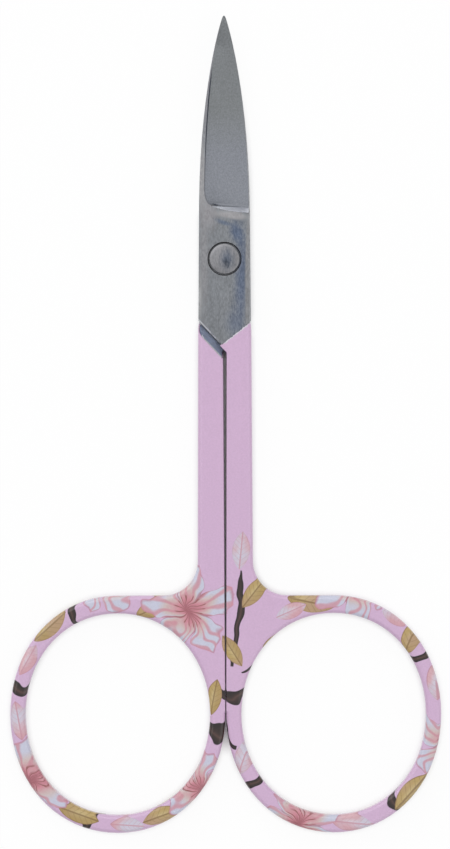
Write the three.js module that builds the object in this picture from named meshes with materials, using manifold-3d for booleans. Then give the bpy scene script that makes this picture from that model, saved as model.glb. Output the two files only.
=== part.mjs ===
// Nail scissors: two like steel halves on a rivet, each with a printed lacquer jacket on its handle.
// Millimetres. Z is the pivot axis, +Y runs to the points, +X to the front half's finger bow.
// The origin is on the pivot axis, on the flat outer face of the rear half.
import * as THREE from "three";
import { mergeVertices } from "three/addons/utils/BufferGeometryUtils.js";
import Module from "manifold-3d";

const wasm = await Module();
wasm.setup();

// Blade and joint plate
const BLADE_REACH = 28; // pivot axis to the point
const POINT_BLUNT = 0.25; // length that rounding takes off a sharp point
const POINT_ROUND = 0.25; // length of the rounded point
const LANCET_POWER = 0.85; // how full the blade's outline is, 1 is a parabola
const SPINE_REACH = 2.92; // pivot axis to the back of the blade, across, at the grind's foot
const EDGE_REACH = 2.78; // pivot axis to the cutting edge, across, at the grind's foot
const HEEL_REACH = 2.78; // pivot axis to the plate's side below the edge, at the lacquer
const PLATE_THICKNESS = 1.55; // one half at the joint
const LAP_CLEARANCE = 0.1; // between the facing sides of the two halves
const POINT_THICKNESS = 0.5;
const EDGE_THICKNESS = 0.12;
const HOLLOW_DEPTH = 0.1; // hollow grind on the facing side
const GRIND_DROP = 5.3; // pivot axis to the start of the step below the grind
const STEP_RUN = 0.75; // length of the sloping step, at the edge
const STEP_CORNER = 0.8; // round corner between the step and the spine land
const SPINE_LAND = 0.62; // flat left along the back, at the grind's foot

// Shoulder where each half thickens from the plate to the shank
const SHOULDER_ANGLE = 47;
const SHOULDER_DROP = 7.1; // pivot axis to the plate's lower corner
const SHOULDER_REACH = 3.02; // pivot axis to that corner, across
const SHOULDER_RUN = 0.7; // width of the slope at its outer end
const SHOULDER_CLEARANCE = 0.2; // from the plate's end to the other half's shoulder

// Shank and finger bow, bare steel
const SHANK_REACH = 3.02; // pivot axis to the outer side, at the neck
const SHANK_TOP_REACH = 2.9; // pivot axis to the outer side, at the lacquer's edge
const HEEL_FLARE = 0.8; // length over which the plate widens to the shank
const BOW_DROP = 52.3; // pivot axis to the middle of the bow
const BOW_HOLE_WIDTH = 21.5;
const BOW_HOLE_HEIGHT = 23.5;
const BOW_RIM_SIDE = 1.45;
const BOW_RIM_END = 1.73;
const BOW_SWELL = 0.01; // how much fuller than an ellipse the bow is at its corners
const NECK_RADIUS = 4.1; // fillet between shank and bow
const BOW_END_THICKNESS = 2.4; // at the far end of the bow
const EDGE_ROUND = 0.5;
const INNER_EDGE_ROUND = 0.05; // along the flat inner sides

// Lacquer jacket
const COAT_THICKNESS = 0.12;
const COAT_GAP = 0.03; // between lacquer and steel
const COAT_LINE_ANGLE = 38;
const COAT_LINE_DROP = 7.33; // pivot axis to the outer end of the lacquer's edge
const COAT_LINE_CLEARANCE = 0.06;
const SHANK_PARTING = 0.4; // between the closed jackets, at the shoulder
const BOW_PARTING = 0.12; // between the closed jackets, at the bows

// Rivet
const RIVET_RADIUS = 1.1;
const RIVET_HEAD_RADIUS = 1.73;
const RIVET_HEAD_THICKNESS = 0.7;
const RIVET_HEAD_CROWN = 0.08;
const RIVET_TAIL_RADIUS = 1.6;
const RIVET_TAIL_DEPTH = 0.5;
const HEAD_GAP = 0.14; // round the head in its counterbore
const HEAD_SEAT_CLEARANCE = 0.05;
const RUNNING_CLEARANCE = 0.05;
const TAIL_CLEARANCE = 0.03;

// Fineness of curves
const BLADE_STATIONS = 14;
const STEP_STATIONS = 4;
const CORNER_STATIONS = 4;
const POINT_STATIONS = 3;
const BOW_SEGMENTS = 44;
const HOLE_SEGMENTS = 48;
const NECK_SEGMENTS = 8;
const ROUND_SEGMENTS = 3;
const PIVOT_SEGMENTS = 48;
const MARGIN = 2; // how far cutters run past what they cut
const SINK = 0.005; // the handle's start under the plate's face, so that no two faces share a plane

// Places that follow from the sizes
const INNER_FACE = LAP_CLEARANCE / 2;
const OUTER_FACE = INNER_FACE + PLATE_THICKNESS;
const COAT_SPREAD = COAT_GAP + COAT_THICKNESS;
const POINT_START = BLADE_REACH - POINT_ROUND;
const GRIND_FOOT = GRIND_DROP + STEP_RUN;
const BOW_HALF_WIDTH = BOW_HOLE_WIDTH / 2 + BOW_RIM_SIDE;
const BOW_HALF_HEIGHT = BOW_HOLE_HEIGHT / 2 + BOW_RIM_END;
const BOW_INNER = BOW_PARTING / 2 + COAT_SPREAD;
const SHANK_INNER = SHANK_PARTING / 2 + COAT_SPREAD;
const BOW_CENTRE_X = BOW_INNER + BOW_HALF_WIDTH;
const BOW_TOP = BOW_HALF_HEIGHT - BOW_DROP;
const BOW_END = -BOW_HALF_HEIGHT - BOW_DROP;
const RIM_ROUND = Math.min(EDGE_ROUND, 0.45 * BOW_RIM_SIDE, 0.45 * BOW_RIM_END);
const SHOULDER_TURN = THREE.MathUtils.degToRad(SHOULDER_ANGLE);
const COAT_LINE_TURN = THREE.MathUtils.degToRad(COAT_LINE_ANGLE);

// Heights of the plate's sloping end and of the lacquer's edge on the outer face, at a place across
const plateEndAt = (x) => -SHOULDER_DROP - (x + SHOULDER_REACH) * Math.tan(SHOULDER_TURN);
const coatLineAt = (x) => -COAT_LINE_DROP - (SHANK_TOP_REACH - x) * Math.tan(COAT_LINE_TURN);
const HANDLE_TOP = coatLineAt(HEEL_REACH) + HEEL_FLARE;

// A closed geometry as a solid that can be joined and cut
function solid(geometry) {
  const bare = new THREE.BufferGeometry();
  bare.setAttribute("position", geometry.getAttribute("position"));
  bare.setIndex(geometry.index);
  const merged = mergeVertices(bare, 1e-5);
  return new wasm.Manifold(new wasm.Mesh({
    numProp: 3,
    vertProperties: Float32Array.from(merged.attributes.position.array),
    triVerts: Uint32Array.from(merged.index.array),
  }));
}

// A named mesh of a solid
function meshOf(name, shape, material) {
  const data = shape.getMesh();
  const geometry = new THREE.BufferGeometry();
  geometry.setAttribute("position", new THREE.BufferAttribute(data.vertProperties, 3));
  geometry.setIndex(new THREE.BufferAttribute(data.triVerts, 1));
  const mesh = new THREE.Mesh(geometry, material);
  mesh.name = name;
  return mesh;
}

// A solid through like cross-sections, each a list of points in order
function loft(sections) {
  const count = sections[0].length;
  const positions = sections.flat().flatMap((point) => point.toArray());
  const faces = [];
  for (let row = 0; row + 1 < sections.length; row++) {
    for (let i = 0; i < count; i++) {
      const a = row * count + i;
      const b = row * count + ((i + 1) % count);
      faces.push(a, a + count, b, b, a + count, b + count);
    }
  }
  const flat = (section) => section.map((point) => new THREE.Vector2(point.x, point.z));
  const last = (sections.length - 1) * count;
  for (const [a, b, c] of THREE.ShapeUtils.triangulateShape(flat(sections[0]), [])) {
    faces.push(a, b, c);
  }
  for (const [a, b, c] of THREE.ShapeUtils.triangulateShape(flat(sections.at(-1)), [])) {
    faces.push(last + a, last + c, last + b);
  }
  const geometry = new THREE.BufferGeometry();
  geometry.setAttribute("position", new THREE.Float32BufferAttribute(positions, 3));
  geometry.setIndex(faces);
  return solid(geometry);
}

// A solid turned round the Z axis from a profile of radius and height
function turned(profile) {
  const points = profile.map(([r, z]) => new THREE.Vector2(r, z));
  const geometry = new THREE.LatheGeometry(points, PIVOT_SEGMENTS);
  geometry.rotateX(Math.PI / 2);
  return solid(geometry);
}

// A straight solid between two heights
function prism(points, low, high) {
  const shape = new THREE.Shape(points.map(([x, y]) => new THREE.Vector2(x, y)));
  const geometry = new THREE.ExtrudeGeometry(shape, { depth: high - low, bevelEnabled: false });
  geometry.translate(0, 0, low);
  return solid(geometry);
}

// The blade's full width at a height, as a share of its width at the grind's foot
function fullnessAt(y) {
  const along = (y - GRIND_DROP) / (BLADE_REACH + POINT_BLUNT - GRIND_DROP);
  const rounding = Math.max(0, (y - POINT_START) / POINT_ROUND);
  return (1 - along ** 2) ** LANCET_POWER * Math.sqrt(1 - rounding ** 2);
}

// One cross-section of the blade, with its back on the left and its cutting edge on the right
function bladeSection(y) {
  const fullness = fullnessAt(y);
  const spine = SPINE_REACH * fullness;
  const edge = EDGE_REACH * fullness;
  const along = (y - GRIND_DROP) / (BLADE_REACH - GRIND_DROP);
  const thickness = THREE.MathUtils.lerp(PLATE_THICKNESS, POINT_THICKNESS, along);
  const corner = THREE.MathUtils.clamp((GRIND_FOOT + STEP_CORNER - y) / STEP_CORNER, 0, 1);
  const land = SPINE_LAND * fullness ** 2 + STEP_CORNER * (1 - Math.sqrt(1 - corner ** 2));
  const depth = THREE.MathUtils.clamp((y - GRIND_DROP) / STEP_RUN, 0, 1);
  const grindLine = THREE.MathUtils.lerp(edge - EDGE_THICKNESS, land - spine, Math.sqrt(depth));
  const edgeHeight = THREE.MathUtils.lerp(PLATE_THICKNESS, EDGE_THICKNESS, depth);
  const hollow = HOLLOW_DEPTH * fullness * depth;
  return [
    new THREE.Vector3(-spine, y, INNER_FACE),
    new THREE.Vector3((edge - spine) / 2, y, INNER_FACE + hollow),
    new THREE.Vector3(edge, y, INNER_FACE),
    new THREE.Vector3(edge, y, INNER_FACE + edgeHeight),
    new THREE.Vector3(grindLine, y, INNER_FACE + thickness),
    new THREE.Vector3(-spine, y, INNER_FACE + thickness),
  ];
}

// Places between two ends that lie closer together near the second
function closingIn(from, to, count, share = 1) {
  const turn = share * Math.PI / 2;
  return Array.from({ length: count }, (_, i) => from + (to - from) * Math.sin((i + 1) / count * turn));
}

// The blade from the step to the point, with closer stations at the step, its corner and the point
function blade() {
  const cornerEnd = GRIND_FOOT + STEP_CORNER;
  const stations = [
    ...Array.from({ length: STEP_STATIONS }, (_, i) => GRIND_DROP + STEP_RUN * (i / STEP_STATIONS) ** 2),
    ...closingIn(cornerEnd, GRIND_FOOT, CORNER_STATIONS).reverse(),
    cornerEnd,
    ...closingIn(cornerEnd, POINT_START, BLADE_STATIONS),
    ...closingIn(POINT_START, BLADE_REACH, POINT_STATIONS, 0.9),
  ];
  return loft(stations.map(bladeSection));
}

// The place across where a line above the lacquer's edge meets the plate's sloping end
function plateEndUnder(lift) {
  return (plateEndAt(0) - coatLineAt(0) - lift) / (Math.tan(SHOULDER_TURN) + Math.tan(COAT_LINE_TURN));
}

// The flat plate at the joint, down to the lacquer's edge on one side and to its sloping end on the other
function plate() {
  const lift = COAT_LINE_CLEARANCE / Math.cos(COAT_LINE_TURN);
  const tip = plateEndUnder(lift);
  return prism([
    [-SPINE_REACH, GRIND_DROP],
    [-SHOULDER_REACH, -SHOULDER_DROP],
    [tip, plateEndAt(tip)],
    [HEEL_REACH, coatLineAt(HEEL_REACH) + lift],
    [EDGE_REACH, GRIND_DROP],
  ], INNER_FACE, OUTER_FACE);
}

// A point on the bow's outline of unit size, a little fuller than an ellipse
function bowPoint(angle) {
  const swell = 1 + BOW_SWELL * Math.sin(2 * angle) ** 2;
  return new THREE.Vector2(swell * Math.cos(angle), swell * Math.sin(angle));
}

// The handle's outline, down the inner side, round the bow and up the outer side, with its edge rounds
function handleOutline() {
  const tip = plateEndUnder(HEEL_FLARE);
  const outline = [
    { x: tip, y: plateEndAt(tip), round: INNER_EDGE_ROUND },
    { x: SHANK_INNER, y: plateEndAt(SHANK_INNER), round: INNER_EDGE_ROUND },
  ];
  for (let i = 0; i <= BOW_SEGMENTS; i++) {
    const point = bowPoint(Math.PI + (i / BOW_SEGMENTS) * 1.5 * Math.PI);
    outline.push({
      x: BOW_CENTRE_X + BOW_HALF_WIDTH * point.x,
      y: BOW_HALF_HEIGHT * point.y - BOW_DROP,
      round: i === 0 ? INNER_EDGE_ROUND : RIM_ROUND,
    });
  }
  for (let i = 0; i <= NECK_SEGMENTS; i++) {
    const angle = Math.PI * (1.5 - 0.5 * i / NECK_SEGMENTS);
    outline.push({
      x: SHANK_REACH + NECK_RADIUS * (1 + Math.cos(angle)),
      y: BOW_TOP + NECK_RADIUS * (1 + Math.sin(angle)),
      round: RIM_ROUND,
    });
  }
  outline.push({ x: SHANK_TOP_REACH, y: HANDLE_TOP - 2 * HEEL_FLARE, round: RIM_ROUND });
  outline.push({ x: HEEL_REACH, y: HANDLE_TOP, round: RIM_ROUND });
  return outline;
}

// The bow's hole, in the other direction round
function bowHole() {
  const hole = [];
  for (let i = 0; i < HOLE_SEGMENTS; i++) {
    const point = bowPoint(-2 * Math.PI * i / HOLE_SEGMENTS);
    hole.push({
      x: BOW_CENTRE_X + BOW_HOLE_WIDTH / 2 * point.x,
      y: BOW_HOLE_HEIGHT / 2 * point.y - BOW_DROP,
      round: RIM_ROUND,
    });
  }
  return hole;
}

// Half the steel handle's thickness, which tapers to the end of the bow
function handleHalfThickness(y) {
  const along = (HANDLE_TOP - y) / (HANDLE_TOP - BOW_END);
  return THREE.MathUtils.lerp(OUTER_FACE - SINK, BOW_END_THICKNESS / 2, along);
}

// The way out of a loop at one of its points, long enough to keep both sides at an even distance
function outwardAt(loop, i) {
  const here = loop[i];
  const before = loop[(i + loop.length - 1) % loop.length];
  const after = loop[(i + 1) % loop.length];
  const first = new THREE.Vector2(here.y - before.y, before.x - here.x).normalize();
  const second = new THREE.Vector2(after.y - here.y, here.x - after.x).normalize();
  return first.clone().add(second).divideScalar(1 + first.dot(second));
}

// The handle as a bar of rounded edges, grown by a spread on every side
function handleBar(spread) {
  const loops = [handleOutline(), bowHole()];
  const rows = 2 * (ROUND_SEGMENTS + 1);
  const levels = Array.from({ length: rows }, () => []);
  for (const loop of loops) {
    loop.forEach((point, i) => {
      const outward = outwardAt(loop, i);
      const round = point.round + spread;
      for (let row = 0; row < rows; row++) {
        const upper = row <= ROUND_SEGMENTS;
        const step = upper ? row : rows - 1 - row;
        const turn = (step / ROUND_SEGMENTS) * Math.PI / 2;
        const out = spread - round * (1 - Math.sin(turn));
        const x = point.x + outward.x * out;
        const y = point.y + outward.y * out;
        const height = handleHalfThickness(y) + spread - round * (1 - Math.cos(turn));
        levels[row].push(new THREE.Vector3(x, y, upper ? height : -height));
      }
    });
  }
  const count = levels[0].length;
  const faces = [];
  for (let row = 0; row + 1 < rows; row++) {
    let start = row * count;
    for (const loop of loops) {
      for (let i = 0; i < loop.length; i++) {
        const a = start + i;
        const b = start + ((i + 1) % loop.length);
        faces.push(a, a + count, b, b, a + count, b + count);
      }
      start += loop.length;
    }
  }
  const split = loops[0].length;
  const flat = levels[0].map((point) => new THREE.Vector2(point.x, point.y));
  const last = (rows - 1) * count;
  for (const [a, b, c] of THREE.ShapeUtils.triangulateShape(flat.slice(0, split), [flat.slice(split)])) {
    faces.push(a, b, c, last + a, last + c, last + b);
  }
  const positions = levels.flat().flatMap((point) => point.toArray());
  const geometry = new THREE.BufferGeometry();
  geometry.setAttribute("position", new THREE.Float32BufferAttribute(positions, 3));
  geometry.setIndex(faces);
  return solid(geometry);
}

// The room for the other half's plate: everything on the blade's side of a shoulder.
// The profile gives how far the shoulder lies behind the plate's end at each height, from low to high.
function lapRoom(profile) {
  const across = new THREE.Vector3(-Math.sin(SHOULDER_TURN), Math.cos(SHOULDER_TURN), 0);
  const line = new THREE.Vector3(Math.cos(SHOULDER_TURN), Math.sin(SHOULDER_TURN), 0);
  const end = across.dot(new THREE.Vector3(SHOULDER_REACH, -SHOULDER_DROP, 0));
  const far = end + SHOULDER_DROP + MARGIN;
  const [low, high] = [profile[0][1], profile.at(-1)[1]];
  const room = prism([
    [far, low],
    [far, high],
    ...profile.map(([behind, z]) => [end - behind, z]).reverse(),
  ], -4 * SHOULDER_DROP, 4 * SHOULDER_DROP);
  const basis = new THREE.Matrix4().makeBasis(across, new THREE.Vector3(0, 0, 1), line);
  return room.transform(basis.elements);
}

// Everything beyond the lacquer's edge on the outer face
function aboveCoatLine() {
  const reach = BOW_HALF_WIDTH + SHOULDER_DROP;
  return prism([
    [-reach, coatLineAt(-reach)],
    [reach, coatLineAt(reach)],
    [reach, coatLineAt(reach) + reach],
    [-reach, coatLineAt(reach) + reach],
  ], -2 * OUTER_FACE, 2 * OUTER_FACE);
}

// One steel half, outer face up, with its own hole for the rivet
function steelHalf(hole) {
  const shoulder = [
    [SHOULDER_CLEARANCE + SHOULDER_RUN + MARGIN, -OUTER_FACE - MARGIN],
    [SHOULDER_CLEARANCE, SHOULDER_RUN - OUTER_FACE],
    [SHOULDER_CLEARANCE, INNER_FACE],
  ];
  const handle = handleBar(0).subtract(lapRoom(shoulder));
  return blade().add(plate()).add(handle).subtract(turned(hole));
}

// The lacquer jacket of one half, open where the shank comes out
function coat() {
  const shell = handleBar(COAT_SPREAD).subtract(handleBar(COAT_GAP));
  const behind = SHOULDER_CLEARANCE + COAT_LINE_CLEARANCE;
  const lean = SHOULDER_RUN * (1 + MARGIN / OUTER_FACE);
  const bareShoulder = lapRoom([[behind + lean, -OUTER_FACE - MARGIN], [behind, 0], [behind, INNER_FACE]]);
  return shell.subtract(aboveCoatLine()).subtract(bareShoulder);
}

// The rivet's hole in the front half, with a counterbore for the head
const headHole = [
  [0, -OUTER_FACE - MARGIN],
  [RIVET_RADIUS + RUNNING_CLEARANCE, -OUTER_FACE - MARGIN],
  [RIVET_RADIUS + RUNNING_CLEARANCE, OUTER_FACE - RIVET_HEAD_THICKNESS],
  [RIVET_HEAD_RADIUS + HEAD_GAP, OUTER_FACE - RIVET_HEAD_THICKNESS],
  [RIVET_HEAD_RADIUS + HEAD_GAP, OUTER_FACE + MARGIN],
  [0, OUTER_FACE + MARGIN],
];

// The rivet's hole in the rear half, with a countersink for the tail
const tailHole = [
  [0, -OUTER_FACE - MARGIN],
  [RIVET_RADIUS + TAIL_CLEARANCE, -OUTER_FACE - MARGIN],
  [RIVET_RADIUS + TAIL_CLEARANCE, OUTER_FACE - RIVET_TAIL_DEPTH],
  [RIVET_TAIL_RADIUS + TAIL_CLEARANCE, OUTER_FACE],
  [RIVET_TAIL_RADIUS + TAIL_CLEARANCE, OUTER_FACE + MARGIN],
  [0, OUTER_FACE + MARGIN],
];

// The rivet, head up
const rivetProfile = [
  [0, -OUTER_FACE],
  [RIVET_TAIL_RADIUS, -OUTER_FACE],
  [RIVET_RADIUS, RIVET_TAIL_DEPTH - OUTER_FACE],
  [RIVET_RADIUS, OUTER_FACE - RIVET_HEAD_THICKNESS + HEAD_SEAT_CLEARANCE],
  [RIVET_HEAD_RADIUS, OUTER_FACE - RIVET_HEAD_THICKNESS + HEAD_SEAT_CLEARANCE],
  [RIVET_HEAD_RADIUS, OUTER_FACE],
  [RIVET_HEAD_RADIUS / 2, OUTER_FACE + 0.75 * RIVET_HEAD_CROWN],
  [0, OUTER_FACE + RIVET_HEAD_CROWN],
];

const steel = new THREE.MeshStandardMaterial({ color: 0x8b8d93, roughness: 0.35, metalness: 1 });
const rivetSteel = new THREE.MeshStandardMaterial({ color: 0x8e8d90, roughness: 0.3, metalness: 1 });
const lacquer = new THREE.MeshStandardMaterial({ color: 0xcdb1cf, roughness: 0.35, metalness: 0 });

const front = new THREE.Group();
front.name = "front";
front.add(meshOf("front_half", steelHalf(headHole), steel));
front.add(meshOf("front_handle_coat", coat(), lacquer));

const rear = new THREE.Group();
rear.name = "rear";
rear.rotation.y = Math.PI;
rear.add(meshOf("rear_half", steelHalf(tailHole), steel));
rear.add(meshOf("rear_handle_coat", coat(), lacquer));

const scissors = new THREE.Group();
scissors.name = "nail_scissors";
scissors.position.z = OUTER_FACE;
scissors.add(front, rear, meshOf("pivot_rivet", turned(rivetProfile), rivetSteel));

export default scissors;
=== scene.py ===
"""Nail scissors, closed: two ground steel halves on one rivet, with printed lacquer on the handles."""

import logging
import math
from collections.abc import Callable, Iterator
from contextlib import contextmanager
from dataclasses import dataclass
from enum import Enum
from functools import partial

import bmesh
import bpy
from bmesh.types import BMEdge, BMFace, BMVert
from bpy.types import Curve, Material, NodeSocket, NodeTree, Object
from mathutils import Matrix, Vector


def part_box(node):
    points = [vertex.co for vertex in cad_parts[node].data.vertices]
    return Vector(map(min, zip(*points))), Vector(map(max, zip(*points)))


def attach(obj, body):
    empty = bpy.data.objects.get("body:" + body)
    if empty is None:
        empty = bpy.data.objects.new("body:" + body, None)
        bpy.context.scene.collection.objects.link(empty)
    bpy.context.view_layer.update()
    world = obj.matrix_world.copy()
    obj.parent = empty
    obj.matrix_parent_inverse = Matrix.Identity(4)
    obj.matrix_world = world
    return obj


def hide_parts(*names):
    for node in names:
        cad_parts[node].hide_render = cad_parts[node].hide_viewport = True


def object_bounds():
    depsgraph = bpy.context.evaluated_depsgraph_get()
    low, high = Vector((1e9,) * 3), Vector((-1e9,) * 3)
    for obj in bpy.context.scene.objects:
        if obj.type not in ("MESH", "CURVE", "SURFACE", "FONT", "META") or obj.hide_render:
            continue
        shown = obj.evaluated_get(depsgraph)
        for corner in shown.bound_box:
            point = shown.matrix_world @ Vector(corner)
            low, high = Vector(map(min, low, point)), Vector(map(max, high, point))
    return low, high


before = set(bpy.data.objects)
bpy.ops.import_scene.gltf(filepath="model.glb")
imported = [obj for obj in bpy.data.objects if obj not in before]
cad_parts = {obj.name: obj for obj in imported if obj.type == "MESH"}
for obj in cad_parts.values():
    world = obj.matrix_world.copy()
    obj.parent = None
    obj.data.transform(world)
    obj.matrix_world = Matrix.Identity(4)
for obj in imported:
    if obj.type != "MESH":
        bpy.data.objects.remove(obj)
CAD_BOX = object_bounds()

MM = 0.001
WELD = 1e-6  # points closer than this are one, in metres
CUT = WELD / 10  # points closer than this to a cut lie on it, in metres
NEAR = 0.01  # points closer than this to a line or a face lie on it, in mm
QUARTER_ARC = 0.5523  # handle length of a Bezier quarter circle of radius 1
MEETING_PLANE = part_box("front_half")[1].z / MM / 2  # height where the two halves face each other, in mm

ALIKE = 0.999  # two ways whose dot product is above this are the same
INWARD = 0.6  # share of a face's normal that looks to the other handle
SHARP = 0.8  # angle between two faces at a real corner, in radians

# How far a face looks up or down: 1 where it is level, 0 where it is upright
LEVEL = 0.995
SLOPING = 0.98
LYING = 0.9
GENTLE = 0.8
SLANTED = 0.5
UPRIGHT = 0.05

SOFT = {"interpolation_type": "SMOOTHSTEP", "clamp": False}  # a soft step that needs no clamp of its own
COLOUR = {"data_type": "RGBA"}  # a mix of two colours, which are its inputs 6 and 7

Outputs = bpy.types.bpy_prop_collection  # a node's outputs, by name or number
Adder = Callable[..., Outputs]  # adds a node to one tree

log = logging.getLogger("nail_scissors")


class Side(Enum):
    """One of the two like halves, with the way that its outer face looks."""

    FRONT = 1
    REAR = -1

    @property
    def body(self) -> str:
        """The CAD body that the half rides on."""
        return self.name.lower()

    def own(self, point: Vector) -> Vector:
        """A point in mm as the half itself sees it, outer face up, from the middle of the joint."""
        return Vector((self.value * point.x, point.y, self.value * (point.z - MEETING_PLANE * MM))) / MM


class Motif(Enum):
    """The drawn things that the handles' print is made of."""

    TWIG = "twig"
    LEAF = "leaf"
    BUD = "bud"
    BLOSSOM = "blossom"


# Selecting, editing and finishing meshes


def flat(x: float, y: float) -> Vector:
    """A point or a way in the plane that the scissors lie in."""
    return Vector((x, y, 0))


def make_active(piece: Object) -> None:
    """Selects one object alone and makes it the active one.

    Args:
        piece: the object.
    """
    bpy.ops.object.select_all(action="DESELECT")
    piece.select_set(True)
    bpy.context.view_layer.objects.active = piece


def add_object(add: Callable[..., object], name: str, **settings: object) -> Object:
    """Adds a primitive, a lamp or a camera while nothing is selected.

    Args:
        add: the operator that adds it.
        name: its name.
        settings: what the operator is told.

    Returns:
        The new object.
    """
    bpy.ops.object.select_all(action="DESELECT")
    add(**settings)
    piece = bpy.context.object
    piece.name = name
    return piece


def pick(piece: Object, kind: str, test: Callable[..., bool]) -> None:
    """Selects the faces, edges or verts of an open piece that pass a test, and nothing else.

    Args:
        piece: the mesh object, in edit mode.
        kind: faces, edges or verts.
        test: says whether one of them is wanted.
    """
    bpy.ops.mesh.select_all(action="DESELECT")
    shape = bmesh.from_edit_mesh(piece.data)
    shape.normal_update()
    wanted = [part for part in getattr(shape, kind) if test(part)]
    for part in wanted:
        part.select_set(True)
    shape.select_flush_mode()
    bmesh.update_edit_mesh(piece.data)
    log.info("%s: %d %s picked", piece.name, len(wanted), kind)


@contextmanager
def editing(piece: Object, kind: str, test: Callable[..., bool] = lambda part: True) -> Iterator[None]:
    """Opens a piece in edit mode with what passes a test selected, and closes it again.

    Args:
        piece: the mesh object.
        kind: faces, edges or verts, what selecting works on.
        test: says whether one of them is wanted. All are if no test is given.
    """
    make_active(piece)
    bpy.ops.object.mode_set(mode="EDIT")
    bpy.ops.mesh.select_mode(type=kind.removesuffix("s").upper())
    pick(piece, kind, test)
    yield
    bpy.ops.object.mode_set(mode="OBJECT")


def finish_with(piece: Object, kind: str, **settings: object) -> None:
    """Adds a modifier with its settings and applies it.

    Args:
        piece: the mesh object.
        kind: Blender's name for the modifier's type.
        settings: properties of the modifier.
    """
    make_active(piece)
    bpy.ops.object.modifier_add(type=kind)
    modifier = piece.modifiers[-1]
    for name, value in settings.items():
        setattr(modifier, name, value)
    bpy.ops.object.modifier_apply(modifier=modifier.name)


def shade(piece: Object, degrees: float) -> None:
    """Shades a piece smooth across edges below an angle, with its flat faces kept flat.

    Args:
        piece: the mesh object.
        degrees: the angle.
    """
    make_active(piece)
    bpy.ops.object.shade_smooth_by_angle(angle=math.radians(degrees))
    finish_with(piece, "WEIGHTED_NORMAL", keep_sharp=True, weight=100)


# Colours and nodes


def linear(colour: str) -> tuple[float, float, float, float]:
    """Turns an sRGB hex colour to linear.

    Args:
        colour: the colour, a # and six digits.

    Returns:
        Red, green, blue and full alpha.
    """
    shares = [int(colour[i : i + 2], 16) / 255 for i in (1, 3, 5)]
    red, green, blue = [s / 12.92 if s <= 0.04045 else ((s + 0.055) / 1.055) ** 2.4 for s in shares]
    return red, green, blue, 1.0


def add_node(tree: NodeTree, kind: str, *values: object, stops: tuple = (), **settings: object) -> Outputs:
    """Adds a node with its settings, its ramp and its links.

    Args:
        tree: the node tree that gets it.
        kind: Blender's name for the node's type without ShaderNode, and its operation after a dot.
        values: what the inputs get, in their order or as one dict by name or number. Each is a value, a hex
            colour or an output to link.
        stops: a colour ramp's places and colours.
        settings: the node's other properties.

    Returns:
        The node's outputs.
    """
    kind, _, operation = kind.partition(".")
    node = tree.nodes.new(kind if kind.startswith("NodeGroup") else f"ShaderNode{kind}")
    if operation:
        node.operation = operation
    for name, value in settings.items():
        setattr(node, name, value)
    for count, (place, colour) in enumerate(stops):
        elements = node.color_ramp.elements
        element = elements[count] if count < 2 else elements.new(place)
        element.position = place
        element.color = linear(colour) if isinstance(colour, str) else colour
    inputs = values[0] if values and isinstance(values[0], dict) else dict(enumerate(values))
    for key, value in inputs.items():
        if isinstance(value, NodeSocket):
            tree.links.new(value, node.inputs[key])
        else:
            node.inputs[key].default_value = linear(value) if isinstance(value, str) else value
    return node.outputs


def new_material(name: str) -> tuple[Material, Adder]:
    """Makes an empty node material.

    Args:
        name: its name.

    Returns:
        The material, and what adds a node to it.
    """
    material = bpy.data.materials.new(name)
    material.use_nodes = True
    material.node_tree.nodes.clear()
    return material, partial(add_node, material.node_tree)


def new_group(motif: Motif) -> tuple[NodeTree, Adder, Outputs]:
    """A node group that draws one motif of the print.

    It takes the place along and beside the motif and the share of the wash there. It gives the motif's ink,
    and white where the ground stays clear of it.

    Args:
        motif: what it draws.

    Returns:
        The group's tree, what adds a node to it, and the values that it is given.
    """
    tree = bpy.data.node_groups.new(motif.value, "ShaderNodeTree")
    for key in ("Along", "Beside", "Wash"):
        tree.interface.new_socket(key, in_out="INPUT", socket_type="NodeSocketFloat")
    for key in ("Ink", "Clear"):
        tree.interface.new_socket(key, in_out="OUTPUT", socket_type="NodeSocketColor")
    return tree, partial(add_node, tree), add_node(tree, "NodeGroupInput")


def close_group(node: Adder, colour: NodeSocket, mask: NodeSocket) -> None:
    """Ends a motif's node group.

    Args:
        node: what adds a node to the group.
        colour: the motif's colour.
        mask: 1 on the motif and 0 beside it.
    """
    ink = node("Mix", {0: mask, 6: "#000000", 7: colour}, **COLOUR)[2]
    clear = node("ValToRGB", mask, stops=((0.0, "#ffffff"), (1.0, "#000000")))["Color"]
    node("NodeGroupOutput", {"Ink": ink, "Clear": clear})


@dataclass(frozen=True)
class Patch:
    """A soft oval of another tint on steel, placed and sized in mm; most are painted reflections, highlights
    and shade.
    """

    x: float
    y: float
    turn: float
    across: float
    along: float
    colour: str
    strength: float = 0.8
    soft: float = 0.7  # share of the radius over which it fades out
    depth: float = 100.0  # how far it reaches through the steel
    rim: float = 1.75  # where it ends, with the mottling that frays it added

    def oval(self, place: NodeSocket) -> dict[str, object]:
        """Works out what a Mapping node needs to give places inside the oval a length below 1.

        Args:
            place: the place in mm.

        Returns:
            The node's inputs.
        """
        turn = (0, 0, math.radians(self.turn))
        radii = (self.across, self.along, self.depth)
        return {"Vector": place, "Location": (self.x, self.y, 0), "Rotation": turn, "Scale": radii}


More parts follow.
